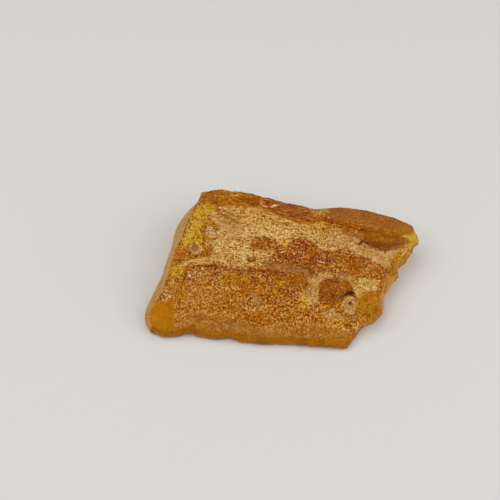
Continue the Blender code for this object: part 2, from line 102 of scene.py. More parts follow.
# ---------- where each finish lies
# Closed outlines of the patches, (x, y) in mm, seen from above.
OUTLINES = {
    "rim": (
        ((-19.3, 15.9), (-18.5, 17.6), (-15.2, 18.1), (-11.0, 17.7), (-5.6, 16.4), (-0.6, 14.9),
         (4.0, 13.9), (7.0, 13.2), (6.8, 10.5), (7.8, 9.1), (10.5, 8.3), (13.7, 6.9), (17.0, 6.2),
         (17.6, 5.1), (14.7, 5.3), (11.4, 6.0), (9.2, 6.7), (6.4, 7.4), (3.7, 7.4), (1.5, 8.2),
         (-0.7, 8.8), (-2.5, 9.8), (-3.9, 11.1), (-5.7, 11.7), (-7.5, 12.0), (-9.8, 12.2),
         (-11.6, 12.3), (-13.9, 12.4), (-16.2, 13.0), (-17.8, 13.5)),
    ),
    "deep": (
        ((-10.3, 14.6), (-7.5, 15.4), (-4.7, 15.0), (0.6, 13.9), (4.0, 13.4), (5.8, 12.2),
         (6.6, 10.1), (7.3, 8.4), (8.6, 7.3), (6.4, 7.4), (3.7, 7.6), (1.5, 8.4), (-0.7, 9.2),
         (-2.5, 11.1), (-4.8, 12.3), (-7.0, 12.7), (-9.1, 13.2)),
        ((6.7, 9.5), (10.5, 8.6), (13.7, 7.3), (17.0, 6.4), (19.6, 5.8), (17.8, 4.9), (15.2, 5.4),
         (12.1, 6.0), (9.2, 6.8)),
    ),
    "ridge": (
        ((9.8, 11.2), (11.1, 12.4), (13.1, 12.6), (16.5, 12.1), (20.4, 12.0), (24.0, 10.9),
         (26.7, 9.6), (27.2, 8.2), (25.9, 6.1), (23.7, 5.7), (21.5, 6.1), (19.3, 6.6), (17.1, 6.9),
         (14.8, 7.1), (12.6, 7.7), (10.5, 8.9)),
    ),
    "slope": (
        ((17.2, 5.0), (18.3, 5.7), (20.5, 5.5), (22.7, 5.0), (25.0, 4.9), (26.8, 4.5), (27.4, 4.0),
         (25.9, 3.5), (23.6, 3.4), (21.8, 3.4), (20.1, 3.7), (18.3, 4.3)),
    ),
    # The groove under the ridge: its dark colour is painted shade
    "groove": (
        ((17.9, 4.0), (19.6, 3.6), (21.8, 3.3), (24.1, 3.2), (26.4, 3.5), (27.4, 3.7), (26.5, 3.1),
         (25.1, 2.5), (23.3, 1.8), (21.5, 1.7), (20.1, 2.1), (18.8, 2.9)),
    ),
    "chip": (
        ((-30.2, -12.3), (-30.0, -11.1), (-28.9, -10.5), (-27.6, -9.4), (-25.8, -9.1),
         (-24.1, -9.5), (-24.0, -11.1), (-24.2, -12.6), (-24.9, -14.0), (-25.8, -15.2),
         (-27.9, -15.4), (-29.8, -14.4)),
    ),
    "facet": (
        ((1.4, -4.8), (4.1, -4.4), (4.7, -5.4), (4.6, -6.7), (3.2, -6.3), (1.9, -5.9)),
    ),
    "amber": (
        ((26.5, 9.7), (27.8, 9.2), (29.2, 8.6), (29.9, 7.7), (29.4, 6.5), (28.0, 5.3), (26.3, 4.4),
         (25.3, 5.3), (26.3, 7.4)),
    ),
    "tip": (
        ((26.1, 4.0), (27.1, 4.8), (28.6, 5.8), (29.8, 7.1), (30.6, 6.4), (31.0, 5.2), (29.6, 3.6),
         (28.5, 2.7), (28.0, 3.2), (28.4, 4.0), (27.6, 4.2)),
    ),
    "cream": (
        ((-13.9, 12.3), (-11.6, 12.1), (-8.6, 11.7), (-5.7, 11.6), (-3.9, 10.9), (-2.5, 9.7),
         (-0.7, 8.7), (1.5, 8.0), (3.7, 7.3), (6.4, 7.3), (9.2, 6.6), (11.4, 5.9), (14.7, 5.1),
         (16.5, 4.3), (18.3, 3.3), (19.6, 2.0), (22.6, 1.4), (24.9, 2.3), (26.5, 2.8), (26.1, 1.8),
         (24.5, 0.6), (23.7, -0.9), (23.1, -2.6), (20.1, -7.1), (16.8, -10.0), (15.1, -8.2),
         (14.8, -5.4), (11.3, -4.6), (10.1, -0.3), (3.5, -1.8), (-0.9, -2.3), (-4.0, -1.9),
         (-5.7, -3.1), (-8.6, -3.1), (-11.9, -2.6), (-15.2, -2.0), (-19.6, -2.0), (-22.4, -2.7),
         (-24.6, -4.2), (-24.0, -2.1), (-20.7, -0.5), (-17.9, -0.3), (-15.7, 0.8), (-16.1, 2.1),
         (-17.3, 2.3), (-17.7, 3.5), (-16.6, 3.7), (-15.1, 3.6), (-14.6, 5.5), (-15.1, 7.0),
         (-16.1, 9.0), (-17.0, 10.5), (-16.2, 11.6), (-15.0, 11.9)),
    ),
    "tan": (
        ((-13.9, 11.6), (-11.6, 11.0), (-9.8, 9.9), (-8.4, 7.9), (-9.1, 5.4), (-10.2, 3.9),
         (-12.4, 4.4), (-14.6, 5.5), (-15.1, 7.5), (-13.8, 9.1), (-14.8, 10.6)),
        ((-17.8, 6.3), (-16.9, 7.1), (-15.6, 6.7), (-14.9, 5.5), (-15.3, 4.2), (-16.4, 4.0),
         (-17.5, 4.5)),
        ((10.3, 5.8), (13.6, 5.1), (16.5, 4.3), (18.3, 3.3), (20.1, 1.8), (22.6, 1.4), (25.1, 2.3),
         (26.5, 2.8), (25.8, 1.8), (24.7, 0.8), (24.1, -1.4), (23.1, -2.5), (21.3, -1.7),
         (19.0, -0.7), (16.8, 0.5), (14.7, 1.8), (12.0, 2.0), (9.8, 3.4)),
    ),
    "ember": (
        ((-7.3, 1.6), (-7.0, 3.1), (-6.2, 3.8), (-4.6, 3.9), (-2.6, 3.5), (-1.1, 2.5), (-0.2, 1.3),
         (1.3, 0.9), (0.4, 0.1), (-1.8, 0.6), (-3.5, 1.3), (-5.7, 1.2), (-6.8, 0.7)),
        ((0.4, 1.1), (1.1, 2.6), (2.5, 3.6), (3.8, 4.0), (5.4, 3.0), (7.1, 1.8), (7.9, 0.9),
         (5.8, 0.5), (4.6, -0.6), (3.0, -0.9), (1.8, 0.1)),
        ((-3.3, -1.9), (-3.1, -0.6), (-2.0, 0.3), (0.2, 0.8), (1.8, 1.0), (3.1, -0.5), (3.9, -1.7),
         (1.7, -2.2), (-0.5, -2.2), (-2.5, -2.1)),
        ((4.1, -0.8), (6.2, 0.7), (9.0, 0.9), (12.4, 0.8), (15.1, 0.6), (17.3, 0.1), (19.9, -1.0),
         (22.7, -1.8), (23.4, -2.6), (22.1, -4.4), (19.3, -4.7), (16.6, -4.7), (14.4, -4.2),
         (11.1, -3.9), (7.8, -3.5), (5.6, -2.7), (3.5, -2.0)),
        ((-8.1, -1.0), (-7.1, -0.6), (-6.0, -1.3), (-6.6, -2.0), (-7.9, -1.7)),
        ((-15.4, 11.0), (-15.0, 11.5), (-14.3, 11.3), (-14.1, 10.5), (-14.7, 10.1)),
    ),
    "worn": (
        ((7.3, -8.0), (7.8, -6.5), (9.1, -5.4), (10.8, -5.0), (12.6, -5.3), (14.3, -6.1),
         (14.7, -7.3), (12.9, -7.9), (12.2, -9.2), (11.5, -10.4), (10.0, -10.8), (8.7, -10.3),
         (7.5, -9.2)),
    ),
    "red": (
        ((-8.4, -12.3), (-6.6, -12.1), (-4.9, -12.3), (-2.7, -12.6), (-2.3, -13.4), (-4.0, -13.7),
         (-6.2, -13.7), (-7.9, -13.2)),
        ((0.4, -0.3), (2.2, 0.3), (3.5, -0.9), (3.5, -1.8), (1.7, -2.0), (0.6, -1.7)),
        ((1.8, 1.2), (2.7, 3.2), (4.5, 3.4), (6.2, 1.9), (5.3, 0.8), (3.5, -0.7), (2.2, 0.1)),
        ((4.6, -0.8), (6.8, 0.2), (10.1, 0.1), (11.9, -0.6), (10.0, -2.0), (6.7, -2.2)),
        ((0.3, -7.2), (2.5, -6.6), (4.2, -7.0), (3.1, -8.2), (1.4, -9.1), (0.1, -8.2)),
    ),
    "orange": (
        ((-24.5, -1.1), (-23.7, 0.2), (-23.0, 1.6), (-22.2, 2.4), (-21.0, 1.5), (-20.1, 0.3),
         (-17.9, 0.2), (-17.2, 1.6), (-16.1, 1.9), (-15.5, 1.0), (-16.3, -0.2), (-18.5, -0.7),
         (-20.7, -0.9), (-22.5, -1.3), (-23.6, -2.1)),
        ((-25.1, -3.3), (-25.9, -4.9), (-27.1, -6.3), (-26.1, -6.6), (-24.8, -5.0), (-23.3, -3.5),
         (-23.8, -2.1)),
        ((-7.7, -11.9), (-4.9, -12.0), (-2.5, -12.8), (-3.2, -13.7), (-6.2, -13.7), (-7.7, -13.1)),
    ),
    "lime": (
        ((-19.9, 12.4), (-18.5, 13.5), (-16.7, 13.3), (-15.3, 12.5), (-15.7, 11.3), (-17.0, 10.3),
         (-17.2, 9.1), (-18.1, 8.1), (-18.5, 6.9), (-18.2, 4.9), (-18.0, 3.3), (-19.0, 2.9),
         (-21.3, 2.5), (-22.8, 1.5), (-22.7, 4.1), (-21.7, 6.8), (-20.7, 9.6)),
        ((-24.9, -2.6), (-23.3, -1.9), (-22.0, -2.7), (-22.4, -4.3), (-24.2, -4.4)),
    ),
    "gold": (
        ((15.8, -10.8), (15.9, -9.4), (17.1, -8.4), (18.5, -7.4), (20.5, -7.8), (21.6, -9.5),
         (20.9, -11.7), (19.2, -12.9), (17.6, -13.7), (16.1, -12.9)),
        ((23.9, -1.1), (24.2, 0.2), (25.1, 0.8), (25.8, 0.3), (25.9, -0.3), (25.2, -1.2),
         (24.1, -1.7)),
        ((23.1, -1.9), (23.9, -1.2), (25.2, -1.1), (25.5, -1.7), (24.7, -2.7), (23.7, -2.7)),
    ),
    "side": (
        ((22.6, -3.6), (23.7, -2.7), (24.7, -2.7), (25.3, -3.0), (24.5, -4.5), (23.3, -6.0),
         (22.2, -8.0), (21.1, -8.2), (22.0, -5.4)),
    ),
    "dark": (
        ((-21.3, -6.7), (-21.1, -4.8), (-20.2, -3.2), (-18.7, -2.6), (-15.8, -2.4), (-13.2, -2.4),
         (-12.3, -3.4), (-13.8, -4.6), (-15.6, -5.4), (-17.3, -6.0), (-19.6, -5.5), (-21.1, -7.1),
         (-22.3, -7.9)),
        ((-12.3, -2.8), (-8.6, -3.3), (-4.9, -3.8), (1.2, -4.4), (0.8, -5.2), (-4.9, -4.6),
         (-8.6, -4.5), (-11.9, -4.2)),
        ((-7.5, -4.6), (-6.0, -4.8), (-5.5, -6.0), (-6.4, -7.0), (-7.5, -6.4)),
        ((-3.8, -4.8), (-2.0, -5.2), (-1.8, -6.8), (-3.1, -7.3), (-4.0, -6.1)),
        ((-3.6, -8.7), (-2.1, -9.4), (-1.6, -10.5), (-2.7, -11.2), (-3.6, -10.1)),
        ((-0.5, -7.5), (1.2, -6.8), (4.5, -6.8), (3.4, -8.2), (1.2, -9.3), (-0.3, -8.8)),
    ),
    "sand": (
        ((-26.3, -4.2), (-24.4, -4.2), (-22.8, -5.3), (-22.8, -7.1), (-23.6, -8.7), (-24.9, -9.5),
         (-26.5, -8.6), (-27.0, -6.9)),
        ((-21.5, -6.6), (-18.4, -5.9), (-15.1, -6.1), (-13.2, -7.4), (-12.7, -9.8), (-15.1, -10.7),
         (-19.3, -10.4), (-21.9, -9.0)),
        ((-23.6, -10.9), (-20.6, -10.6), (-16.2, -11.1), (-13.6, -11.6), (-12.3, -13.2),
         (-17.3, -13.3), (-21.7, -13.0), (-23.6, -12.6)),
        ((-4.9, -13.7), (0.1, -14.2), (3.3, -13.1), (8.0, -13.9), (10.2, -15.2), (3.3, -15.5),
         (-3.2, -14.7)),
    ),
    "bright": (
        ((-11.4, -7.3), (-7.5, -7.0), (-4.0, -7.8), (-1.0, -9.6), (3.3, -9.6), (5.9, -11.5),
         (3.3, -13.1), (-1.0, -13.0), (-4.9, -11.8), (-9.7, -11.5), (-12.3, -9.7)),
    ),
    "glitter": (
        ((-21.1, -3.7), (-19.6, -2.8), (-17.2, -2.7), (-16.3, -3.7), (-17.1, -5.2), (-19.3, -5.5),
         (-20.9, -4.8)),
    ),
    "drain": (
        ((11.7, -4.7), (13.4, -5.0), (15.2, -5.6), (16.3, -6.5), (14.7, -6.5), (13.4, -5.8),
         (11.7, -5.2)),
        ((8.0, -12.0), (10.2, -11.4), (12.2, -12.2), (12.7, -13.0), (10.7, -13.7), (8.5, -13.1)),
        ((2.9, -8.8), (4.7, -7.5), (5.5, -6.4), (4.9, -5.2), (6.0, -4.1), (8.3, -3.4), (10.2, -3.7),
         (11.3, -4.8), (9.1, -5.2), (7.8, -6.3), (7.1, -7.9), (7.0, -9.6), (6.1, -11.3),
         (4.6, -10.7), (3.6, -10.0)),
    ),
    "mauve": (
        ((12.1, 5.7), (14.7, 5.1), (17.4, 4.9), (18.3, 4.0), (17.9, 3.2), (16.1, 3.9), (13.9, 4.5)),
        ((-5.1, -3.3), (-3.8, -2.1), (-0.9, -2.3), (2.3, -2.5), (4.8, -2.8), (6.7, -3.6),
         (6.0, -5.3), (4.7, -4.5), (4.3, -4.0), (1.2, -4.0), (-3.1, -3.7)),
    ),
    "yellow": (
        ((3.1, -9.8), (4.0, -8.7), (5.3, -9.3), (5.7, -10.9), (4.2, -11.7), (2.9, -10.9)),
        ((-6.6, -10.6), (-4.9, -10.4), (-3.6, -10.7), (-4.0, -11.5), (-6.2, -11.6), (-8.1, -11.7),
         (-7.9, -11.1)),
        ((10.2, -13.2), (12.4, -13.4), (13.5, -14.9), (12.0, -15.5), (10.4, -14.7)),
        ((-8.4, -11.0), (-6.8, -11.0), (-6.4, -11.7), (-7.9, -12.1)),
        ((-0.6, 3.2), (0.5, 3.4), (0.9, 1.9), (-0.0, 0.8)),
        ((6.8, 13.0), (10.2, 12.3), (9.7, 9.6), (7.0, 10.1)),
        ((7.3, 7.3), (9.5, 7.3), (9.2, 6.4), (7.3, 6.4)),
        ((14.6, -14.6), (15.9, -13.6), (16.6, -14.4), (15.4, -15.8)),
        ((25.6, -0.2), (25.4, 1.0), (26.3, 2.1), (27.7, 2.9), (28.8, 3.1), (28.9, 2.6), (28.1, 1.4),
         (26.7, 0.2)),
    ),
    "band": (
        ((-24.5, -13.6), (-22.7, -12.4), (-19.5, -11.7), (-15.1, -12.1), (-11.4, -12.8),
         (-7.5, -13.8), (-1.0, -14.7), (4.4, -15.3), (7.2, -15.0), (10.9, -14.9), (14.2, -14.8),
         (16.3, -14.6), (15.6, -16.4), (13.9, -18.0), (9.9, -17.7), (3.4, -17.1), (-6.4, -16.5),
         (-12.9, -15.9), (-17.3, -15.2), (-20.6, -14.2), (-24.0, -15.0), (-25.1, -14.8)),
    ),
    "veil": (
        ((-22.0, 14.9), (-19.9, 17.3), (-18.4, 16.4), (-19.3, 14.1), (-19.9, 12.4), (-21.1, 9.4),
         (-22.9, 6.9), (-24.1, 2.8), (-25.4, -0.2), (-26.2, -2.8), (-28.3, -5.1), (-29.9, -8.2),
         (-30.5, -11.4), (-31.9, -12.0), (-32.2, -8.3), (-29.0, -0.6), (-26.9, 7.0), (-25.0, 11.7)),
    ),
    # Painted shade: dark colour inside the hollows of a burst bubble
    "hole": (
        ((12.0, -9.5), (12.5, -8.1), (13.8, -7.3), (15.1, -7.9), (15.1, -8.8), (14.1, -8.2),
         (12.9, -9.3)),
    ),
    "ring": (
        ((12.6, -9.9), (13.8, -8.7), (15.1, -9.1), (15.7, -10.4), (15.2, -11.6), (13.9, -12.3),
         (12.8, -11.4)),
        ((-21.0, 1.5), (-20.6, 2.7), (-19.5, 2.8), (-18.4, 2.2), (-18.1, 1.1), (-19.0, 0.1),
         (-20.3, 0.3)),
    ),
    "pale": (
        ((-26.9, -9.0), (-25.8, -7.9), (-24.7, -8.1), (-24.9, -9.1), (-26.0, -9.6)),
        ((15.2, -5.6), (17.4, -5.3), (20.6, -5.5), (20.1, -6.6), (17.8, -7.7), (16.0, -9.0),
         (14.9, -7.9)),
        ((-10.2, 6.4), (-4.8, 7.7), (0.3, 6.2), (3.7, 5.4), (1.8, 3.8), (0.2, 2.3), (-1.7, 3.2),
         (-4.8, 4.5), (-7.5, 3.8), (-9.0, 1.9), (-10.6, 3.4)),
        ((-15.5, 3.6), (-11.5, 4.4), (-8.6, 1.9), (-4.9, 0.4), (-3.5, -0.6), (-4.9, -1.8),
         (-8.6, -1.9), (-11.9, -0.4), (-15.0, 0.8)),
    ),
}

STROKES = {
    "arc": (
        ((-18.2, 7.1, 0.29), (-17.8, 8.0, 0.43), (-16.5, 8.2, 0.43), (-15.5, 7.2, 0.22)),
        ((-18.0, 4.9, 0.24), (-17.1, 4.0, 0.34), (-15.5, 3.7, 0.22)),
    ),
    "smudge": (
        ((-4.2, -1.9, 0.43), (-3.2, -2.3, 0.43)),
        ((4.3, -2.1, 0.19), (5.4, -2.9, 0.19)),
        ((5.2, -3.2, 0.22), (6.0, -4.1, 0.22)),
        ((11.9, -4.5, 0.24), (13.1, -4.1, 0.34), (14.1, -4.6, 0.24)),
    ),
    "grey": (
        ((-8.7, -9.8, 0.62),),
        ((-6.6, -8.4, 0.62), (-5.8, -10.2, 0.72)),
        ((5.4, -3.8, 0.62), (4.8, -5.2, 0.62)),
        ((15.2, -13.1, 0.58),),
        ((-12.5, -14.2, 0.53), (-9.7, -14.6, 0.53)),
        ((-19.7, 1.8, 0.58),),
    ),
    # Painted glints: small near-white marks where light would catch the rim and grains
    "flake": (
        ((-5.2, 13.3, 0.19), (-4.1, 12.3, 0.17), (-3.6, 12.0, 0.10)),
        ((-2.9, 12.1, 0.12), (-1.8, 12.6, 0.26), (-1.0, 12.8, 0.10)),
        ((7.4, -1.4, 0.08), (8.7, -1.8, 0.17)),
        ((10.5, -1.2, 0.11),),
        ((10.9, -1.9, 0.08),),
        ((27.3, 2.0, 0.19),),
        ((-18.0, -2.8, 0.17),),
        ((-20.7, -4.2, 0.19),),
        ((-21.5, 7.8, 0.22),),
        ((-18.5, -3.6, 0.12),),
        ((-19.4, -3.4, 0.10),),
        ((9.4, -3.3, 0.10),),
        ((2.2, 0.3, 0.08), (2.0, -0.3, 0.07)),
        ((4.6, 1.3, 0.08),),
        ((3.5, 1.8, 0.07),),
        ((-0.7, 0.4, 0.10), (0.2, 0.5, 0.07)),
    ),
    # Dark dots: most sit in the pits as painted shade, a few are dark specks of the crust
    "dot": (
        ((14.1, -10.3, 0.22),),
        ((17.2, 5.3, 0.31), (17.8, 5.3, 0.22)),
        ((16.8, 2.9, 0.26), (17.5, 3.4, 0.26)),
        ((18.1, 3.3, 0.19), (18.8, 2.9, 0.22)),
        ((18.1, 2.3, 0.22),),
        ((13.3, -8.3, 0.38), (14.5, -7.8, 0.31)),
        ((8.8, 5.9, 0.22),),
        ((13.1, -12.9, 0.14),),
    ),
}

RUNS = {
    "line": (
        (0.10, ((-18.4, 7.2), (-17.9, 8.0), (-16.7, 8.3), (-15.5, 7.5))),
        (0.10, ((-18.4, 5.3), (-17.8, 4.2), (-16.6, 3.5), (-15.3, 3.6))),
        (0.22, ((-7.5, -3.6), (-4.9, -3.9), (-1.8, -4.2), (1.2, -4.2))),
        (0.15, ((-2.7, -2.0), (-0.5, -2.1), (1.7, -2.2), (3.9, -2.6))),
        (0.12, ((-17.3, 17.0), (-15.4, 17.3), (-12.1, 16.8), (-8.4, 16.2), (-5.6, 15.5),
                (-2.9, 14.7), (0.3, 13.7), (4.0, 12.8))),
        (0.12, ((19.9, 11.2), (23.2, 10.2), (26.1, 9.1), (28.4, 8.3), (29.6, 7.0), (30.5, 5.4))),
        (0.17, ((-21.9, -5.2), (-21.5, -4.2), (-20.9, -3.3), (-19.6, -2.6), (-17.8, -2.4),
                (-15.2, -2.5), (-13.6, -2.8), (-11.9, -3.2), (-9.7, -3.5), (-7.5, -3.7),
                (-4.9, -3.8), (-1.0, -4.2), (2.3, -4.3), (4.3, -4.1))),
        (0.22, ((4.3, -4.2), (4.9, -5.6), (4.7, -6.9))),
        (0.32, ((-14.5, 10.4), (-13.4, 9.9), (-12.0, 9.2), (-10.2, 7.7))),
        (0.24, ((-13.9, 11.4), (-11.6, 10.1), (-9.7, 9.0))),
        (0.14, ((-7.0, 3.1), (-6.2, 3.8), (-4.6, 4.0), (-2.6, 3.5), (-1.1, 2.5))),
        (0.12, ((-6.2, 2.7), (-4.6, 3.3), (-2.8, 2.6), (-1.7, 1.9))),
        (0.18, ((0.9, 1.9), (1.8, 3.8), (3.4, 4.9), (4.9, 3.6), (6.6, 2.1), (7.9, 1.1))),
        (0.15, ((2.4, -2.3), (4.1, -3.0), (5.8, -3.5))),
        (0.15, ((8.3, -3.4), (10.0, -3.7), (11.3, -5.0))),
        (0.15, ((15.6, -7.0), (16.7, -6.9), (17.8, -7.2))),
        (0.10, ((21.0, -7.0), (18.7, -7.7), (17.0, -8.9))),
        (0.16, ((9.4, 8.8), (12.6, 7.1), (17.0, 6.2), (20.3, 5.5), (24.0, 4.8))),
        (0.12, ((17.8, 5.1), (20.4, 4.7), (23.5, 4.1))),
        (0.12, ((20.5, 4.1), (23.1, 3.8), (25.4, 4.0))),
        (0.14, ((7.8, 8.3), (10.4, 7.3), (13.6, 5.9), (16.9, 5.3))),
        (0.18, ((7.3, -7.0), (8.6, -5.6), (10.4, -5.0), (12.6, -5.3), (14.5, -6.2), (14.9, -7.5))),
        (0.20, ((-21.0, 1.5), (-20.8, 0.4), (-19.4, -0.2), (-17.9, 0.4))),
        (0.16, ((-18.6, 15.8), (-19.9, 12.7), (-20.9, 10.0), (-21.9, 7.1))),
        (0.14, ((24.0, 0.1), (23.8, -1.4), (24.6, -1.5))),
        (0.14, ((23.1, -1.7), (22.9, -3.3), (22.7, -4.9), (22.1, -6.7))),
        (0.16, ((26.3, 4.3), (26.8, 4.1))),
        (0.14, ((-10.8, 3.4), (-9.3, 3.1), (-8.2, 2.7))),
        (0.14, ((-12.4, 2.0), (-10.6, 1.1))),
        (0.14, ((0.2, -2.0), (3.4, -2.7), (6.1, -3.3))),
    ),
    "lip": (
        (0.30, ((-17.3, -15.2), (-12.9, -15.9), (-7.5, -16.4), (-2.1, -16.7), (3.3, -17.0),
                (8.7, -17.3), (12.4, -17.4))),
        (0.22, ((6.7, -3.4), (10.0, -3.1), (14.4, -3.3))),
        (0.22, ((-22.9, -2.2), (-20.2, -1.3), (-16.7, -1.1), (-12.7, -1.6))),
        (0.20, ((-20.8, 1.9), (-20.1, 2.7), (-19.0, 2.8), (-18.1, 2.0), (-17.9, 0.9))),
        (0.20, ((-1.4, -9.9), (0.5, -9.5), (2.7, -9.0))),
        (0.25, ((13.0, -11.9), (14.6, -12.2), (15.7, -11.5))),
        (0.20, ((25.9, 4.1), (27.1, 4.6))),
        (0.18, ((8.0, 1.8), (6.2, 3.3), (4.6, 5.0))),
    ),
}

# Small holes: (x, y), radius and depth
PITS = (
    ((17.4, 5.3), 0.50, 0.5), ((16.8, 2.9), 0.50, 0.5), ((17.9, 3.4), 0.50, 0.5),
    ((18.8, 2.4), 0.50, 0.5), ((12.5, -9.0), 0.60, 0.35), ((13.3, -8.3), 0.75, 0.5),
    ((14.5, -8.1), 0.65, 0.4), ((14.3, -10.3), 0.40, 0.5), ((-20.0, 2.2), 0.35, 0.3),
)
# Where the outline seen from above is pushed about: (x, y), radius, (push in x, push in y)
PUSHES = (
    ((-24.6, 10.9), 6.0, (-0.40, 0.00)), ((29.9, 7.8), 3.5, (0.45, 0.25)),
    ((23.5, -5.1), 2.6, (0.20, 0.00)), ((19.6, -11.7), 3.0, (0.50, -0.20)),
    ((-22.9, -14.9), 3.6, (0.00, -0.30)), ((-4.9, -16.8), 4.4, (0.00, -0.35)),
    ((5.6, -17.3), 4.5, (0.00, -0.20)), ((-12.3, -15.8), 2.6, (0.00, 0.28)),
    ((21.4, -12.3), 1.9, (-0.32, 0.35)), ((26.6, -0.7), 1.9, (-0.50, 0.00)),
    ((24.8, -4.3), 2.2, (-0.35, 0.05)), ((28.7, 1.8), 1.9, (-0.40, 0.05)),
    ((30.2, 3.6), 1.4, (-0.45, 0.25)), ((-8.4, 16.3), 3.4, (0.00, 0.40)),
    ((23.3, 10.7), 4.3, (0.00, 0.28)), ((19.7, 11.6), 2.2, (0.00, 0.18)),
    ((-14.7, 17.2), 2.2, (0.00, 0.15)), ((-11.9, -16.2), 3.4, (0.00, 0.18)),
    ((-28.5, -14.8), 1.9, (0.00, 0.25)), ((-18.4, 16.7), 1.9, (-0.22, 0.30)),
)
# Soft lighter or darker places: (x, y), radius, steps of shade. Some are the lump's own
# lighter and darker places and some are painted light and shade
TONE_AND_SHADE_SPOTS = (
    ((-25.1, -10.0), 1.2, -0.70), ((-28.2, -12.3), 1.4, 0.60), ((20.0, -11.2), 1.4, -0.90),
    ((17.6, -9.2), 1.2, -0.60), ((-6.0, -5.6), 1.2, -0.50), ((-8.8, -11.8), 1.0, -0.40),
    ((3.0, -6.7), 1.2, -0.50), ((1.9, -1.2), 1.2, -0.40), ((16.5, -5.4), 1.0, -0.80),
    ((-15.1, 4.8), 1.4, 1.70), ((0.5, 2.5), 1.2, 1.90), ((-18.6, 1.5), 1.2, 0.60),
    ((20.2, -0.8), 1.4, 0.80), ((5.3, -9.0), 1.0, 0.50), ((12.7, -13.2), 1.4, 0.90),
    ((6.5, -4.1), 1.4, -1.40), ((8.0, -3.6), 1.2, -0.90), ((28.4, 1.6), 1.0, 0.50),
    ((27.3, 0.3), 1.0, 0.50), ((-6.6, -12.9), 1.4, -1.30), ((-5.1, -12.9), 1.0, -0.90),
    ((-10.4, 1.1), 1.2, 0.90), ((9.0, -1.0), 1.0, 0.60), ((-11.0, -3.4), 1.2, 1.40),
    ((-9.5, -2.9), 1.0, 0.80), ((-7.3, 12.8), 1.4, -0.90), ((6.1, -12.1), 1.2, -0.60),
    ((-19.8, -5.8), 1.2, -0.50), ((-3.5, -0.6), 1.2, -0.80), ((-2.5, -9.9), 1.0, -0.60),
    ((-2.5, -6.2), 1.0, -0.50), ((-18.9, -2.3), 1.0, 0.70), ((-4.6, 10.5), 1.2, -0.90),
    ((25.5, 9.4), 1.4, 0.50), ((10.5, -9.2), 1.2, -0.80), ((12.4, -6.2), 1.2, 0.50),
    ((1.1, -1.6), 1.0, -0.70), ((9.2, 5.3), 1.4, -0.70), ((17.6, 1.2), 1.4, -0.60),
    ((14.1, 3.4), 1.2, -0.50), ((7.6, 3.3), 1.0, -0.50), ((-1.2, -2.8), 1.2, 0.60),
    ((3.3, -15.4), 1.4, -0.70), ((5.6, -4.7), 1.0, -0.50), ((11.9, 5.4), 1.0, -0.60),
    ((23.0, -0.7), 1.0, 0.50),
)
# Burst bubbles: (x, y), ring radius, lip height, depth
BUBBLES = (
    ((-19.7, 1.8), 1.15, 0.20, 0.30),
    ((14.2, -10.3), 1.55, 0.22, 0.35),
    ((-16.2, 5.6), 1.50, 0.10, 0.05),
)


class Finish(NamedTuple):
    """What one finish of the skin is like."""

    grain: float    # how grainy its shading and relief are
    streak: float   # how streaked along the flow
    sparkle: float  # how many grains get a painted white glint
    fleck: float    # how many dark flecks lie along the flow
    clear: float    # share of clear resin showing
    rough: float    # roughness of its surface
    rise: float     # mm that it stands above the plain crust
    ragged: float   # mm that its border wanders
    fade: float     # mm over which it gives way
    colour: tuple   # as a paint chart gives it, 0 to 255
    about: str      # what it is, in words


# What the material reads at each point
READ_TRAITS = ("grain", "streak", "sparkle", "fleck", "clear", "rough")

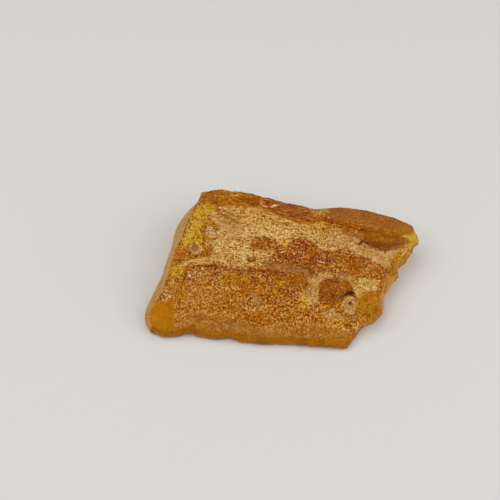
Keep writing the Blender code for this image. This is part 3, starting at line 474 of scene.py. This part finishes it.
# Later finishes lie over earlier ones.
FINISHES = {
    "crust": Finish(0.82, 0.15, 0.05, 0.00, 0.20, 0.70, 0.00, 0.00, 0.00, (186, 111, 3),
                    "Grainy crust"),
    "sand": Finish(0.52, 0.15, 0.05, 0.00, 0.20, 0.65, 0.00, 1.60, 1.80, (198, 132, 49),
                   "Lighter crust of fine grains"),
    "bright": Finish(0.94, 0.10, 0.10, 0.00, 0.25, 0.65, 0.00, 1.60, 1.60, (193, 115, 16),
                     "Grainy crust with much gold in it"),
    "dark": Finish(1.00, 0.10, 0.08, 0.00, 0.25, 0.62, -0.05, 0.80, 0.70, (178, 99, 16),
                   "Grainy crust with much brown in it"),
    "band": Finish(0.30, 0.60, 0.00, 0.10, 0.22, 0.45, 0.00, 1.10, 1.20, (191, 126, 49),
                   "Smooth tan band along the front"),
    "cream": Finish(0.42, 1.15, 0.00, 1.80, 0.10, 0.65, 0.10, 0.90, 0.50, (209, 156, 73),
                    "Frothy pale crust"),
    "pale": Finish(0.42, 0.95, 0.05, 1.80, 0.08, 0.70, 0.05, 1.40, 1.00, (219, 173, 89),
                   "Palest froth"),
    "tan": Finish(0.20, 0.85, 0.00, 0.90, 0.12, 0.50, 0.05, 1.00, 0.90, (207, 159, 88),
                  "Frosted tan skin"),
    "ember": Finish(0.90, 0.70, 0.06, 0.00, 0.35, 0.50, -0.18, 0.50, 0.35, (182, 99, 3),
                    "Dark orange, where the crust is worn through"),
    "worn": Finish(0.45, 0.60, 0.00, 0.00, 0.40, 0.45, -0.18, 0.60, 0.50, (170, 93, 15),
                   "Smoother dark orange, with few grains left on it"),
    "red": Finish(1.00, 0.50, 0.15, 0.00, 0.30, 0.55, -0.20, 0.90, 0.80, (145, 61, 3),
                  "Redder grains within the dark orange"),
    "orange": Finish(0.80, 0.15, 0.05, 0.00, 0.45, 0.45, -0.12, 0.70, 0.45, (210, 124, 7),
                     "Glossy orange"),
    "lime": Finish(0.60, 0.15, 0.05, 0.00, 0.40, 0.50, -0.06, 0.90, 0.70, (249, 183, 40),
                   "Greenish yellow, shining through a thin skin"),
    "mauve": Finish(0.25, 0.40, 0.00, 0.30, 0.15, 0.45, -0.10, 0.50, 0.40, (172, 111, 53),
                    "Film in the channel behind the ledge"),
    "drain": Finish(0.33, 0.25, 0.00, 0.30, 0.12, 0.50, -0.12, 0.60, 0.50, (201, 150, 81),
                    "Beige film beside the ledge"),
    "rim": Finish(0.12, 2.20, 0.03, 0.25, 0.28, 0.40, 0.00, 0.70, 0.60, (193, 119, 19),
                  "Glossy amber brown of the back rim"),
    "deep": Finish(0.32, 2.20, 0.10, 0.20, 0.30, 0.35, -0.05, 0.80, 0.90, (173, 91, 3),
                   "Deepest amber brown"),
    "slope": Finish(0.15, 1.60, 0.03, 0.30, 0.35, 0.40, -0.05, 0.50, 0.60, (168, 100, 16),
                    "Golden streaks under the ridge"),
    "ridge": Finish(0.24, 0.40, 0.00, 0.10, 0.25, 0.40, 0.05, 0.30, 0.30, (175, 108, 36),
                    "Frosted brown skin of the ridge"),
    # Painted shade: the groove is coloured dark where the ridge shades it
    "groove": Finish(0.30, 0.40, 0.00, 0.00, 0.40, 0.30, -0.25, 0.30, 1.20, (135, 71, 26),
                     "Dark groove under the ridge"),
    "yellow": Finish(1.00, 0.10, 0.15, 0.00, 0.30, 0.60, 0.05, 1.00, 0.90, (233, 165, 36),
                     "Yellow bursts"),
    # Its white grains come from painted glints
    "glitter": Finish(0.90, 0.00, 0.12, 0.00, 0.20, 0.70, 0.05, 0.70, 0.60, (187, 120, 37),
                      "Greyish patch with white grains"),
    "side": Finish(0.20, 0.15, 0.05, 0.00, 0.20, 0.35, 0.00, 0.50, 0.60, (206, 147, 54),
                   "Tan orange of the right side"),
    "gold": Finish(0.28, 0.30, 0.00, 0.00, 0.22, 0.34, 0.00, 1.00, 1.80, (192, 127, 26),
                   "Clear golden chips"),
    "chip": Finish(0.10, 0.10, 0.00, 0.00, 0.45, 0.85, 0.00, 0.90, 2.00, (220, 138, 16),
                   "Smooth golden chip at the left corner"),
    "facet": Finish(0.15, 0.20, 0.00, 0.00, 0.50, 0.32, 0.00, 0.10, 0.20, (191, 121, 30),
                    "Smooth end of the ledge"),
    "amber": Finish(0.12, 0.25, 0.00, 0.00, 0.50, 0.32, 0.00, 0.60, 1.20, (207, 134, 31),
                    "Clear right end of the ridge"),
    "tip": Finish(0.10, 0.12, 0.05, 0.00, 0.30, 0.35, 0.00, 0.50, 0.50, (222, 180, 54),
                  "Bright yellow tip"),
    "arc": Finish(0.25, 0.10, 0.05, 0.00, 0.40, 0.45, -0.12, 0.15, 0.30, (218, 151, 22),
                  "Orange arcs round a frosted patch"),
    "ring": Finish(0.25, 0.20, 0.10, 0.00, 0.12, 0.50, 0.00, 0.70, 1.10, (208, 157, 82),
                   "Pale bubble rings"),
    # Painted shade in the hollows of a burst bubble
    "hole": Finish(0.50, 0.00, 0.00, 0.00, 0.20, 0.50, -0.12, 0.30, 0.70, (112, 62, 20),
                   "Dark holes"),
    "grey": Finish(0.20, 0.10, 0.00, 0.00, 0.10, 0.50, 0.00, 0.40, 0.90, (175, 126, 65),
                   "Small grey films"),
    "veil": Finish(0.20, 0.30, 0.00, 0.00, 0.15, 0.42, 0.00, 0.40, 1.40, (206, 155, 66),
                   "Greyish tan of the left facet"),
    "foot": Finish(0.06, 0.10, 0.00, 0.00, 0.55, 0.40, 0.00, 0.40, 0.50, (192, 112, 3),
                   "Orange brown foot of the front"),
    "back": Finish(0.30, 0.50, 0.05, 0.00, 0.45, 0.30, 0.00, 0.60, 0.60, (134, 74, 14),
                   "Dark amber of the back"),
    "smudge": Finish(0.25, 0.30, 0.00, 0.00, 0.10, 0.50, 0.00, 0.20, 0.90, (138, 94, 45),
                     "Greyish dark smudges"),
    # Partly painted shade in the pits, partly dark specks
    "dot": Finish(0.20, 0.00, 0.00, 0.00, 0.10, 0.50, 0.00, 0.10, 0.25, (92, 48, 18),
                  "Dark dots"),
    # Painted glints: white marks that stand for where light catches the surface
    "flake": Finish(0.10, 0.00, 0.00, 0.00, 0.05, 0.25, 0.06, 0.25, 0.20, (244, 204, 152),
                    "White flakes"),
}


def shade(name, description, colour):
    """A colour setting."""
    return FloatVectorProperty(name=name, description=description, default=srgb(*colour),
                               size=3, subtype="COLOR", min=0.0, max=1.0)


class CopalShape(bpy.types.PropertyGroup):
    """How finely the lump is skinned, and how coarse its crust is."""

    voxel: FloatProperty(
        name="Skin step", description="Distance between points of the fine skin",
        default=0.25 * MM, min=0.1 * MM, subtype="DISTANCE", unit="LENGTH")
    soften: IntProperty(
        name="Softening", description="Rounds of smoothing before the crust is pressed in",
        default=5, min=0)
    grain: FloatProperty(
        name="Grain size", description="Size of the grains of the crust",
        default=0.70 * MM, subtype="DISTANCE", unit="LENGTH")
    grain_height: FloatProperty(
        name="Grain height", description="How far the grains stand out",
        default=0.10 * MM, subtype="DISTANCE", unit="LENGTH")
    speck: FloatProperty(
        name="Speck size", description="Size of the finest specks of colour",
        default=0.23 * MM, subtype="DISTANCE", unit="LENGTH")


class CopalColours(bpy.types.PropertyGroup):
    """The shade of each finish, and of the resin inside."""

    inner: FloatVectorProperty(
        name="Inner crust", description="The crust as the resin sees it from inside",
        default=(0.95, 0.86, 0.55), size=3, subtype="COLOR", min=0.0, max=1.0)
    crumb: shade("Crumb", "Colour of the brightest grains", (222, 165, 95))
    lightest: FloatVectorProperty(
        name="Lightest", description="No grain is lighter than this",
        default=(0.92, 0.86, 0.75), size=3, subtype="COLOR", min=0.0, max=1.0)
    tint: FloatVectorProperty(
        name="Tint", description="How a grain's shade falls as its film gets one step thicker",
        default=(0.76, 0.57, 0.25), size=3, subtype="COLOR", min=0.0, max=1.0)
    resin: FloatVectorProperty(
        name="Resin", description="What white light keeps after one resin depth",
        default=(0.96, 0.52, 0.02), size=3, subtype="COLOR", min=0.0, max=1.0)
    resin_depth: FloatProperty(
        name="Resin depth", description="The depth of resin that gives that colour",
        default=8.0 * MM, subtype="DISTANCE", unit="LENGTH")


CopalColours.__annotations__.update({
    name: shade(name.capitalize(), finish.about, finish.colour)
    for name, finish in FINISHES.items()})


class CopalStage(bpy.types.PropertyGroup):
    """Camera, paper and lamps."""

    elevation: FloatProperty(
        name="View height", description="Angle of the camera above the paper",
        default=math.radians(57.0), subtype="ANGLE", unit="ROTATION")
    distance: FloatProperty(
        name="View distance", description="From the camera to its aim",
        default=157.15 * MM, subtype="DISTANCE", unit="LENGTH")
    aim: FloatVectorProperty(
        name="Aim", description="The point in the middle of the picture",
        default=(-7.49 * MM, 3.24 * MM, 7.47 * MM), size=3, subtype="TRANSLATION", unit="LENGTH")
    lens: FloatProperty(
        name="Lens", description="Focal length for a 36 mm sensor", default=50.0)
    paper: shade("Paper", "Colour of the paper under the lump", (228, 227, 223))
    sky: FloatProperty(
        name="Sky", description="Strength of the even light from all round", default=0.33)
    lamp: FloatProperty(
        name="Lamp", description="Power of the soft lamp overhead", default=1.62,
        subtype="POWER", unit="POWER")
    lamp_size: FloatProperty(
        name="Lamp size", description="Side of the soft lamp",
        default=0.55, subtype="DISTANCE", unit="LENGTH")
    side_lamp: FloatProperty(
        name="Side lamp", description="Power of the soft lamp on the right", default=1.45,
        subtype="POWER", unit="POWER")


# ---------- shader wiring

class Wire:
    """A socket of a node tree, on which Python's operators add Math nodes."""

    def __init__(self, board, socket):
        self.board = board
        self.socket = socket

    def _math(self, operation, first, second):
        return self.board.node("ShaderNodeMath", {"operation": operation}, {0: first, 1: second})

    def __add__(self, other):
        return self._math("ADD", self, other)

    def __radd__(self, other):
        return self._math("ADD", other, self)

    def __sub__(self, other):
        return self._math("SUBTRACT", self, other)

    def __rsub__(self, other):
        return self._math("SUBTRACT", other, self)

    def __mul__(self, other):
        return self._math("MULTIPLY", self, other)

    def __rmul__(self, other):
        return self._math("MULTIPLY", other, self)

    def clamped(self, low=0.0, high=1.0):
        return self.board.node("ShaderNodeClamp", {}, {"Value": self, "Min": low, "Max": high})


class Board:
    """A node tree and the one method that adds nodes to it."""

    def __init__(self, tree):
        self.tree = tree

    def node(self, kind, settings, sockets, output=0):
        """Add a node: its settings come first, then the values or links of its sockets."""
        made = self.tree.nodes.new(kind)
        for name, value in settings.items():
            setattr(made, name, value)
        for name, value in sockets.items():
            socket = made.inputs[name]
            if isinstance(value, Wire):
                self.tree.links.new(value.socket, socket)
            else:
                socket.default_value = value
        return Wire(self, made.outputs[output]) if len(made.outputs) else made

    def field(self, name):
        """A number kept at each point of the skin."""
        return self.node("ShaderNodeAttribute", {"attribute_name": name}, {}, output="Fac")

    def shades(self, name):
        """A colour kept at each point of the skin."""
        return self.node("ShaderNodeAttribute", {"attribute_name": name}, {}, output="Vector")

    def noise(self, place, size, detail=2.0, rough=0.5):
        """Cloudy noise about 0, with lumps of about size in mm."""
        return self.node("ShaderNodeTexNoise", {}, {
            "Vector": place, "Scale": 1.0 / size, "Detail": detail, "Roughness": rough}) - 0.5

    def cells(self, place, size, output="Distance", feature="F1"):
        """Grains of about size in mm: distance from a middle or an edge, or a chance colour."""
        return self.node("ShaderNodeTexVoronoi", {"feature": feature},
                         {"Vector": place, "Scale": 1.0 / size}, output=output)

    def chance(self, colour):
        """One number from a chance colour."""
        return self.node("ShaderNodeSeparateColor", {}, {"Color": colour}, output="Red")

    def vector(self, operation, first, second):
        return self.node("ShaderNodeVectorMath", {"operation": operation}, {0: first, 1: second})

    def blend(self, factor, first, second):
        """Mix two colours."""
        return self.node("ShaderNodeMix", {"data_type": "RGBA"}, {0: factor, 6: first, 7: second},
                         output=2)


def full(colour):
    return (*colour, 1.0)


# ---------- noise over points in mm

def shuffled(corners, seed):
    """A chance whole number for each whole-numbered corner, the same on every run."""
    corners = corners.astype(np.uint64)
    mixed = (corners[..., 0] * np.uint64(73856093)) ^ (corners[..., 1] * np.uint64(19349663)) \
        ^ (corners[..., 2] * np.uint64(83492791)) ^ np.uint64(seed * 2654435761 + 97)
    mixed ^= mixed >> np.uint64(13)
    mixed = (mixed * np.uint64(0x5bd1e9955bd1e995)) & np.uint64(0xffffffffffffffff)
    return mixed ^ (mixed >> np.uint64(29))


def chances(numbers, turn):
    """0 to 1, from bits of chance numbers."""
    return ((numbers >> np.uint64(7 * turn)) & np.uint64(0xffff)).astype(float) / 65535.0


def cloud(places, size, seed, octaves=3, stretch=(1.0, 1.0, 1.0)):
    """Cloudy noise, about -1 to 1, with lumps of about size in mm."""
    total, weight, sum_weight = 0.0, 1.0, 0.0
    for octave in range(octaves):
        at = places / (size * np.array(stretch)) * 2.0 ** octave + 1000.0 + 17.0 * octave
        corner = np.floor(at)
        part = at - corner
        ease = part * part * part * (part * (part * 6.0 - 15.0) + 10.0)
        layer = 0.0
        for index in range(8):
            step = np.array([index & 1, index >> 1 & 1, index >> 2 & 1])
            number = shuffled(corner + step, seed + octave)
            slope = np.stack([chances(number, turn) for turn in (1, 3, 5)], axis=-1) - 0.5
            share = np.prod(np.where(step, ease, 1.0 - ease), axis=-1)
            layer = layer + share * np.sum(slope * (part - step), axis=-1)
        total = total + weight * layer * 3.0
        sum_weight += weight
        weight *= 0.6
    return total / sum_weight


def grains_at(places, size, seed):
    """Nearest grain: its distance, how much further the next one is, and its chance shade."""
    at = places / size + 1000.0
    corner = np.floor(at)
    nearest = np.full(len(at), FAR)
    second = nearest
    tone = np.zeros(len(at))
    for index in range(27):
        step = np.array([index % 3, index // 3 % 3, index // 9]) - 1.0
        number = shuffled(corner + step, seed)
        middle = corner + step + np.stack([chances(number, turn) for turn in (1, 3, 5)], axis=-1)
        away = np.linalg.norm(at - middle, axis=-1)
        closer = away < nearest
        second = np.where(closer, nearest, np.minimum(second, away))
        tone = np.where(closer, chances(number, 6), tone)
        nearest = np.minimum(nearest, away)
    return nearest, second - nearest, tone


# ---------- where a point lies

def smoothstep(values, low, high):
    share = np.clip((values - low) / (high - low), 0.0, 1.0)
    return share * share * (3.0 - 2.0 * share)


def bell(distance):
    share = np.clip(distance, 0.0, 1.0)
    return (1.0 - share * share) ** 2


def leg_distance(plan, start, end):
    """How far each point lies from a straight leg, and how far along it the nearest place is."""
    start, leg = np.array(start[:2]), np.array(end[:2]) - np.array(start[:2])
    share = np.clip((plan - start) @ leg / max(float(leg @ leg), 1e-9), 0.0, 1.0)
    return np.linalg.norm(plan - start - share[:, None] * leg, axis=1), share


def outside_outline(plan, outline):
    """Distance in mm outside a closed outline, less than 0 inside it."""
    away = np.full(len(plan), FAR)
    inside = np.zeros(len(plan), dtype=bool)
    for start, end in zip(outline, outline[1:] + outline[:1]):
        away = np.minimum(away, leg_distance(plan, start, end)[0])
        (x0, y0), (x1, y1) = start, end
        if y0 != y1:
            crosses = (plan[:, 1] < y0) != (plan[:, 1] < y1)
            inside ^= crosses & (plan[:, 0] < x0 + (plan[:, 1] - y0) * (x1 - x0) / (y1 - y0))
    return np.where(inside, -away, away)


def outside_stroke(plan, stroke):
    """Distance in mm outside a stroke of (x, y, half width)."""
    away = np.full(len(plan), FAR)
    for start, end in zip(stroke, stroke[1:] if len(stroke) > 1 else stroke):
        leg, share = leg_distance(plan, start, end)
        away = np.minimum(away, leg - start[2] - share * (end[2] - start[2]))
    return away


def run_depth(plan, half_width, run):
    """1 on a thin line, falling to 0 at its half width."""
    away = np.full(len(plan), FAR)
    for start, end in zip(run, run[1:]):
        away = np.minimum(away, leg_distance(plan, start, end)[0])
    return bell(away / half_width)


# ---------- the fine skin

def fine_skin(shape):
    """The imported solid, skinned afresh with even small faces."""
    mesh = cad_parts[NODE].data.copy()
    bm = bmesh.new()
    bm.from_mesh(mesh)
    bmesh.ops.remove_doubles(bm, verts=bm.verts, dist=0.002 * MM)
    bm.to_mesh(mesh)
    bm.free()
    mesh.materials.clear()
    piece = bpy.data.objects.new("copal_lump", mesh)
    bpy.context.scene.collection.objects.link(piece)
    remesh = piece.modifiers.new("even faces", "REMESH")
    remesh.mode = "VOXEL"
    remesh.voxel_size = shape.voxel
    soften = piece.modifiers.new("soften", "SMOOTH")
    soften.factor = 0.5
    soften.iterations = shape.soften
    graph = bpy.context.evaluated_depsgraph_get()
    skin = bpy.data.meshes.new_from_object(piece.evaluated_get(graph))
    piece.modifiers.clear()
    piece.data = skin
    skin.name = "copal_skin"
    bpy.data.meshes.remove(mesh)
    return piece


def read_points(mesh):
    """The points and normals of a mesh, in mm."""
    count = len(mesh.vertices)
    places = np.empty(count * 3)
    mesh.vertices.foreach_get("co", places)
    normals = np.empty(count * 3)
    mesh.vertices.foreach_get("normal", normals)
    return places.reshape(-1, 3) / MM, normals.reshape(-1, 3)


class Skin:
    """Every point of the skin, and what its finish is like there."""

    def __init__(self, mesh, shape, colours):
        self.mesh = mesh
        self.places, self.normals = read_points(mesh)
        self.plan = self.places[:, :2]
        self.upward = smoothstep(self.normals[:, 2], -0.25, 0.15)
        self.wander = 0.6 * cloud(self.places, 2.2, 11) + 0.7 * cloud(self.places, 0.8, 12)
        self.shape = shape
        self.colours = colours
        self.shares = {}
        plain = FINISHES["crust"]
        self.traits = {name: np.full(len(self.places), getattr(plain, name))
                       for name in (*READ_TRAITS, "rise")}
        self.body = np.tile(np.array(colours.crust[:]), (len(self.places), 1))

    def lay(self, name, share):
        """Lay a finish over those below it."""
        finish = FINISHES[name]
        self.shares[name] = share
        for trait, values in self.traits.items():
            values += share * (getattr(finish, trait) - values)
        self.body += share[:, None] * (np.array(getattr(self.colours, name)[:]) - self.body)

    def patch(self, name):
        """How much of a finish lies at each point, from its outlines and strokes."""
        finish = FINISHES[name]
        away = np.full(len(self.plan), FAR)
        for outline in OUTLINES.get(name, ()):
            away = np.minimum(away, outside_outline(self.plan, outline))
        for stroke in STROKES.get(name, ()):
            away = np.minimum(away, outside_stroke(self.plan, stroke))
        away += finish.ragged * self.wander
        return self.upward * (1.0 - smoothstep(away, -0.5 * finish.fade, 0.5 * finish.fade))

    def wall(self, name):
        """How much of a wall's finish lies at each point, by where the wall faces."""
        x, y, z = self.places.T
        across, along, _ = self.normals.T
        if name == "veil":
            share = smoothstep(-across, 0.30, 0.90) * (x < LEFT_END)
        elif name == "foot":
            below = FOOT_TOP + 0.4 * self.wander - z
            share = smoothstep(-along, 0.45, 0.75) * smoothstep(below, 0.0, 0.6)
        elif name == "back":
            share = smoothstep(along, 0.45, 0.75)
        else:
            share = smoothstep(across, 0.45, 0.75) * (x > RIGHT_END) * (y < SIDE_BACK)
        return share

    def underside(self):
        """Patches of pale, dark and clear crust on the face that the lump rests on."""
        below = smoothstep(-self.normals[:, 2], -0.1, 0.4)
        for name, size, seed, least in (("dark", 5.0, 21, 0.05), ("cream", 6.5, 22, 0.10),
                                        ("ember", 5.5, 23, 0.22), ("gold", 7.0, 24, 0.34)):
            patch = cloud(self.places, size, seed) + 0.08 * self.wander
            self.lay(name, below * smoothstep(patch, least, least + 0.06))

    def finish(self):
        """Lay every finish: underside, walls, then the top in the order of FINISHES."""
        self.underside()
        for name in ("back", "side"):
            self.lay(name, self.wall(name))
        for name in FINISHES:
            if name in ("crust", "back"):
                continue
            if name in ("veil", "foot"):
                kept = 1.0 - self.shares["gold"] * (name == "veil")
                self.lay(name, np.maximum(self.wall(name), self.patch(name)) * kept)
            else:
                self.lay(name, self.patch(name))

    def away_from(self, middle):
        """How far each point lies from a place, seen from above."""
        return np.linalg.norm(self.places[:, :2] - np.array(middle), axis=1)

    def along(self, kind, spread):
        """1 along the middle of each thin line of a kind, 0 off them."""
        most = np.zeros(len(self.places))
        for half_width, run in RUNS[kind]:
            most = np.maximum(most, run_depth(self.plan, spread * half_width, run))
        return most

    def press(self):
        """Press grains, streaks, lines, bubbles and pits into the skin."""
        grain, streak = self.traits["grain"], self.traits["streak"]
        flow = self.places @ TO_FLOW
        near, seam, chance = grains_at(self.places + 0.12 * self.wander[:, None],
                                       self.shape.grain / MM, 31)
        dome = 1.0 - 1.25 * near
        coarse = cloud(self.places, 3.4, 32)
        streaks = cloud(flow, 0.9, 33, 3, (5.0, 1.0, 1.5))
        dark, light = self.along("line", LINE_SPREAD), self.along("lip", LIP_SPREAD)
        top = smoothstep(self.normals[:, 2], 0.0, 0.4)

        relief = self.traits["rise"] * self.upward
        relief += self.shape.grain_height / MM * grain * (dome - 0.5) * (0.55 + 0.9 * chance)
        relief += SWELL_HEIGHT * (0.3 + 0.7 * grain) * coarse + STREAK_HEIGHT * streak * streaks
        relief += top * (LIP_HEIGHT * light - LINE_DEPTH * dark)
        for middle, radius, depth in PITS:
            relief -= top * depth * bell(self.away_from(middle) / radius)
        for middle, radius, lip, depth in BUBBLES:
            away = self.away_from(middle)
            relief += top * lip * bell(np.abs(away - radius) / (0.45 * radius))
            relief -= top * depth * bell(away / (0.8 * radius))

        # The raised middles of the pressed grains come out lighter and the seams between them
        # darker
        tone = grain * (0.25 * (chance - 0.5) + 0.8 * np.minimum(seam, 0.30) - 0.17)
        tone += STREAK_STEPS * streak * streaks + SWELL_STEPS * coarse * (0.4 + 0.6 * grain)
        # Soft spots: partly the lump's own tone, partly painted light and shade
        for middle, radius, steps in TONE_AND_SHADE_SPOTS:
            tone += self.upward * steps * bell(self.away_from(middle) / radius)
        # Lips lighter and lines darker: partly their own colour, partly painted highlight and
        # painted shade
        self.tone = tone + top * (LIP_STEPS * light - LINE_STEPS * dark)

        self.places += self.normals * relief[:, None]
        for middle, radius, push in PUSHES:
            self.places[:, :2] += bell(self.away_from(middle) / radius)[:, None] * np.array(push)
        low, high = (np.array(corner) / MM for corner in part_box(NODE))
        self.places = np.clip(self.places, low, high)

    def keep(self):
        """Write the pressed points and all that the material reads back to the mesh."""
        self.mesh.vertices.foreach_set("co", (self.places * MM).ravel())
        self.mesh.update()
        for name in READ_TRAITS:
            self._keep(name, "FLOAT", "value", self.traits[name])
        self._keep("tone", "FLOAT", "value", self.tone)
        self._keep("body", "FLOAT_VECTOR", "vector", self.body)
        self.mesh.shade_smooth()

    def _keep(self, name, kind, slot, values):
        field = self.mesh.attributes.new(name, kind, "POINT")
        field.data.foreach_set(slot, values.astype(np.float32).ravel())


# ---------- the finish

def copal_finish(shape, colours):
    """Crust over clear resin: both shaders and the absorption inside."""
    material = bpy.data.materials.new("copal crust and resin")
    material.use_nodes = True
    tree = material.node_tree
    tree.nodes.clear()
    board = Board(tree)
    corner = board.node("ShaderNodeTexCoord", {}, {}, output="Object")
    place = board.node("ShaderNodeVectorMath", {"operation": "SCALE"},
                       {0: corner, "Scale": 1.0 / MM})
    flow = board.node("ShaderNodeMapping", {"vector_type": "TEXTURE"}, {
        "Vector": place, "Rotation": (0.0, 0.0, PAINT_TURN), "Scale": PAINT_STRETCH})
    patchy = (1.0 + 2.2 * board.noise(place, 3.2)).clamped(0.55, 1.4)
    grain, sparkle = board.field("grain") * patchy, board.field("sparkle")
    speck = shape.speck / MM
    chance = board.chance(board.cells(place, speck, "Color"))
    ripple = board.noise(place, 1.2 * speck, 2.0, 0.60)
    seam = (0.16 - board.cells(place, 1.3 * speck, feature="DISTANCE_TO_EDGE")).clamped() * 6.0
    fleck = (board.noise(flow, 0.42, 3.0, 0.75) - 0.06).clamped() * FLECK_STEPS
    specks = SPECK_STEPS * (chance - 0.5) + RIPPLE_STEPS * ripple - SEAM_STEPS * seam
    tone = (board.field("tone") + grain * specks
            + board.field("streak") * (FLOW_STEPS * board.noise(flow, 0.45, 4.0, 0.80))
            - board.field("fleck") * fleck + CLOUD_STEPS * board.noise(place, 2.5))
    tone = tone - 0.5 * (tone - 0.25).clamped(0.0, 4.0)  # the light end is softened
    thinner = board.vector("POWER", tuple(1.0 / value for value in colours.tint), tone)
    shades = board.vector("MINIMUM", board.vector("MULTIPLY", board.shades("body"), thinner),
                          colours.lightest)
    # Painted glints: a few chance grains are turned to the near-white glint colour
    glint_mask = ((chance - 0.96) * 60.0).clamped() * sparkle
    crumbs = (0.9 * (tone - 0.65)).clamped(0.0, 0.85)
    shades = board.blend(crumbs, shades, full(colours.crumb))
    shades = board.blend(glint_mask, shades, full(colours.flake))

    clear = (board.field("clear") - 0.10 * tone - 0.3 * glint_mask).clamped(0.02, 0.95)
    dome = 1.0 - board.cells(place, speck)
    bump = board.node("ShaderNodeBump", {}, {
        "Strength": BUMP_STRENGTH, "Distance": BUMP_HEIGHT,
        "Height": dome * grain + 0.6 * board.noise(place, 0.9, 3.0, 0.6) * (0.25 + grain)})
    roughness = (board.field("rough") + 0.5 * board.noise(place, 0.8)).clamped(0.08, 0.9)
    behind = board.node("ShaderNodeNewGeometry", {}, {}, output="Backfacing")
    crust = board.node("ShaderNodeBsdfPrincipled", {}, {
        "Base Color": board.blend(behind, shades, full(colours.inner)), "Roughness": roughness,
        "Normal": bump, "IOR": IOR, "Specular IOR Level": 0.08,
        "Specular Tint": CRUST_SHEEN})
    resin = board.node("ShaderNodeBsdfPrincipled", {}, {
        "Base Color": (1.0, 1.0, 1.0, 1.0), "Roughness": 0.6 * roughness,
        "Normal": bump, "IOR": IOR, "Transmission Weight": 1.0,
        "Specular Tint": RESIN_SHEEN})
    surface = board.node("ShaderNodeMixShader", {}, {0: clear, 1: crust, 2: resin})
    loss = [-math.log(max(kept, 0.001)) / colours.resin_depth for kept in colours.resin]
    most = max(loss)
    inside = board.node("ShaderNodeVolumeAbsorption", {}, {
        "Color": full(tuple(1.0 - value / most for value in loss)), "Density": most})
    board.node("ShaderNodeOutputMaterial", {}, {"Surface": surface, "Volume": inside})
    return material


# ---------- operators

class COPAL_OT_lump(bpy.types.Operator):
    """Skin the lump, press its relief and give it crust and resin"""

    bl_idname = "copal.lump"
    bl_label = "Make the Copal Lump"

    def execute(self, context):
        shape, colours = context.scene.copal_shape, context.scene.copal_colours
        piece = fine_skin(shape)
        skin = Skin(piece.data, shape, colours)
        skin.finish()
        skin.press()
        skin.keep()
        piece.data.materials.append(copal_finish(shape, colours))
        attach(piece, "root")
        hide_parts(NODE)
        return {"FINISHED"}


class COPAL_OT_stage(bpy.types.Operator):
    """Lay the paper, light it softly and place the camera"""

    bl_idname = "copal.stage"
    bl_label = "Set the Stage"

    def execute(self, context):
        stage = context.scene.copal_stage
        lay_paper(stage)
        light_softly(context.scene, stage)
        place_camera(context.scene, stage)
        return {"FINISHED"}


def lay_paper(stage):
    bpy.ops.mesh.primitive_plane_add(size=PAPER_SIZE, location=(0.0, 0.0, 0.0))
    paper = bpy.context.object
    paper.name = "paper"
    material = bpy.data.materials.new("pale paper")
    material.use_nodes = True
    shader = material.node_tree.nodes["Principled BSDF"]
    shader.inputs["Base Color"].default_value = full(stage.paper)
    shader.inputs["Roughness"].default_value = 0.9
    paper.data.materials.append(material)


def hang_lamp(scene, name, power, size, place):
    """A square soft lamp that faces the lump."""
    data = bpy.data.lights.new(name, "AREA")
    data.energy = power
    data.size = size
    lamp = bpy.data.objects.new(name, data)
    lamp.location = place
    lamp.rotation_euler = (-lamp.location).to_track_quat("-Z", "Y").to_euler()
    scene.collection.objects.link(lamp)


def light_softly(scene, stage):
    world = bpy.data.worlds.new("soft room")
    world.use_nodes = True
    background = world.node_tree.nodes["Background"]
    background.inputs["Color"].default_value = SKY_COLOUR
    background.inputs["Strength"].default_value = stage.sky
    scene.world = world
    scene.view_settings.view_transform = "Standard"
    hang_lamp(scene, "soft lamp", stage.lamp, stage.lamp_size, LAMP_PLACE)
    hang_lamp(scene, "side lamp", stage.side_lamp, stage.lamp_size, SIDE_LAMP_PLACE)


def place_camera(scene, stage):
    data = bpy.data.cameras.new("camera")
    data.lens = stage.lens
    data.clip_start = 0.01
    camera = bpy.data.objects.new("camera", data)
    away = Vector((0.0, -math.cos(stage.elevation), math.sin(stage.elevation)))
    camera.location = Vector(stage.aim) + away * stage.distance
    camera.rotation_euler = (math.pi / 2.0 - stage.elevation, 0.0, 0.0)
    scene.collection.objects.link(camera)
    scene.camera = camera


class COPAL_PT_panel(bpy.types.Panel):
    """Lists the makers and their settings"""

    bl_idname = "COPAL_PT_panel"
    bl_label = "Raw Copal"
    bl_space_type = "VIEW_3D"
    bl_region_type = "UI"
    bl_category = "Copal"

    def draw(self, context):
        for operator, groups in ((COPAL_OT_lump, ("copal_shape", "copal_colours")),
                                 (COPAL_OT_stage, ("copal_stage",))):
            self.layout.operator(operator.bl_idname)
            for group in groups:
                settings = getattr(context.scene, group)
                for name in settings.__annotations__:
                    self.layout.prop(settings, name)


GROUPS = {"copal_shape": CopalShape, "copal_colours": CopalColours, "copal_stage": CopalStage}
CLASSES = (*GROUPS.values(), COPAL_OT_lump, COPAL_OT_stage, COPAL_PT_panel)


def register():
    for cls in CLASSES:
        bpy.utils.register_class(cls)
    for name, group in GROUPS.items():
        setattr(bpy.types.Scene, name, PointerProperty(type=group))


def unregister():
    for name in GROUPS:
        delattr(bpy.types.Scene, name)
    for cls in reversed(CLASSES):
        bpy.utils.unregister_class(cls)


def main():
    register()
    bpy.ops.copal.lump()
    bpy.ops.copal.stage()


if __name__ == "__main__":
    main()
